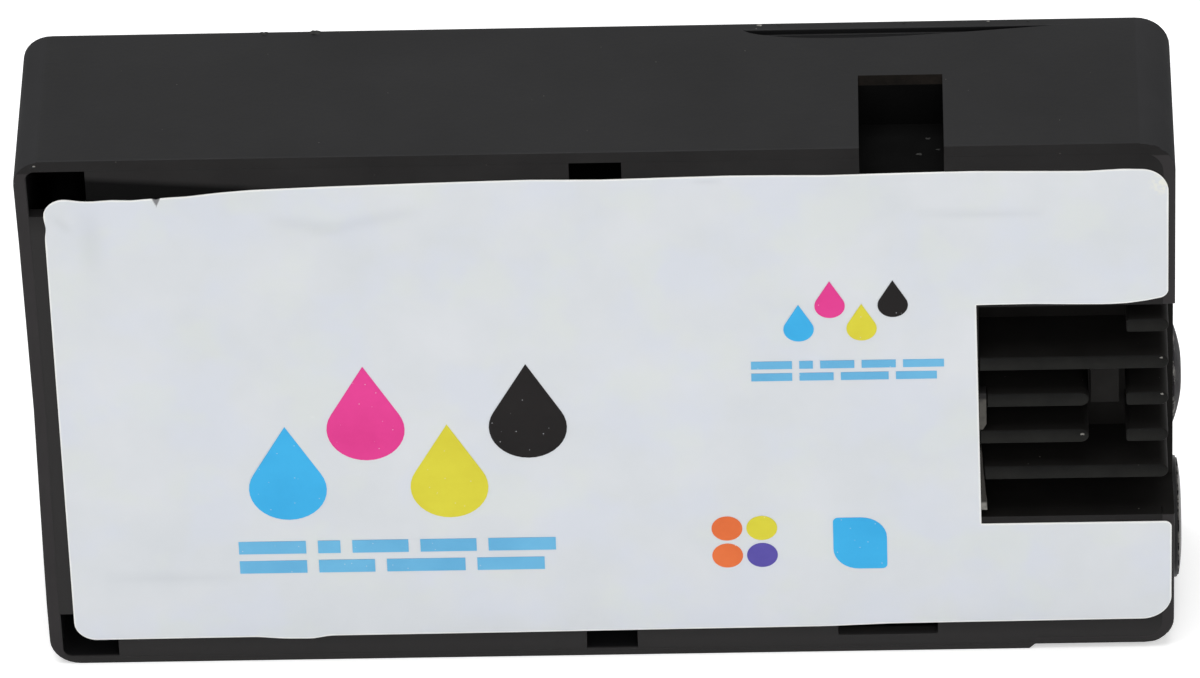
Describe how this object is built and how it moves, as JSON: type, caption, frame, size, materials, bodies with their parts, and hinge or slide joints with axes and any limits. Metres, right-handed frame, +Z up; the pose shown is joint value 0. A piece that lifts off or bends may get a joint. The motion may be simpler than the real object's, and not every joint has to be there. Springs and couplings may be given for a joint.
{
  "type": "inkjet ink cartridge",
  "caption": "Flat black ink cartridge with a flush lid, white side label, latch pocket on top, ribbed key recess and sprung ink outlet.",
  "frame": {"origin": "on the bottom plane, under the middle of the outer box", "axes": "+X towards the port end, labelled face towards -Y, +Z up"},
  "size_m": [0.1146, 0.0212, 0.064],
  "materials": {
    "housing_black": "fine satin injection moulding",
    "lid_black": "smooth satin injection moulding",
    "label_white": "coated, slightly satin",
    "ink_cyan": "printed",
    "ink_magenta": "printed",
    "ink_yellow": "printed",
    "ink_black": "printed",
    "ink_blue": "printed",
    "ink_orange": "printed",
    "ink_violet": "printed",
    "film_clear": "thin translucent film",
    "sponge_ink": "open foam soaked with ink",
    "silicone_clear": "translucent silicone",
    "ring_black": "polished injection moulding",
    "grommet_black": "moulded rubber, slightly glossy",
    "plunger_natural": "natural plastic",
    "spring_steel": "drawn wire",
    "filter_mesh": "fine woven mesh",
    "membrane_white": "porous membrane",
    "plug_rubber": "matt",
    "board_green": "solder mask",
    "contact_gold": "gold plated",
    "resin_black": "cast resin"
  },
  "bodies": {
    "cartridge": {"housing": "housing_black", "side_cover": "lid_black", "label": "label_white", "print_cyan": "ink_cyan", "print_magenta": "ink_magenta", "print_yellow": "ink_yellow", "print_black": "ink_black", "print_blue": "ink_blue", "print_orange": "ink_orange", "print_violet": "ink_violet", "chamber_film": "film_clear", "ink_sponge": "sponge_ink", "outlet_seal": "silicone_clear", "seal_cap": "ring_black", "valve_spring": "spring_steel", "outlet_filter": "filter_mesh", "air_seal": "grommet_black", "vent_membrane": "membrane_white", "fill_plug": "plug_rubber", "chip_board": "board_green", "chip_contacts": "contact_gold", "chip_glob": "resin_black"},
    "valve": {"valve_plunger": "plunger_natural"}
  },
  "joints": [
    {"name": "valve_slide", "type": "slide", "parent": "cartridge", "child": "valve", "axis": [-1, 0, 0], "range_m": [0, 0.0025], "stiffness_N_per_m": 150, "springref_m": -0.004, "deforming": ["valve_spring"]}
  ]
}
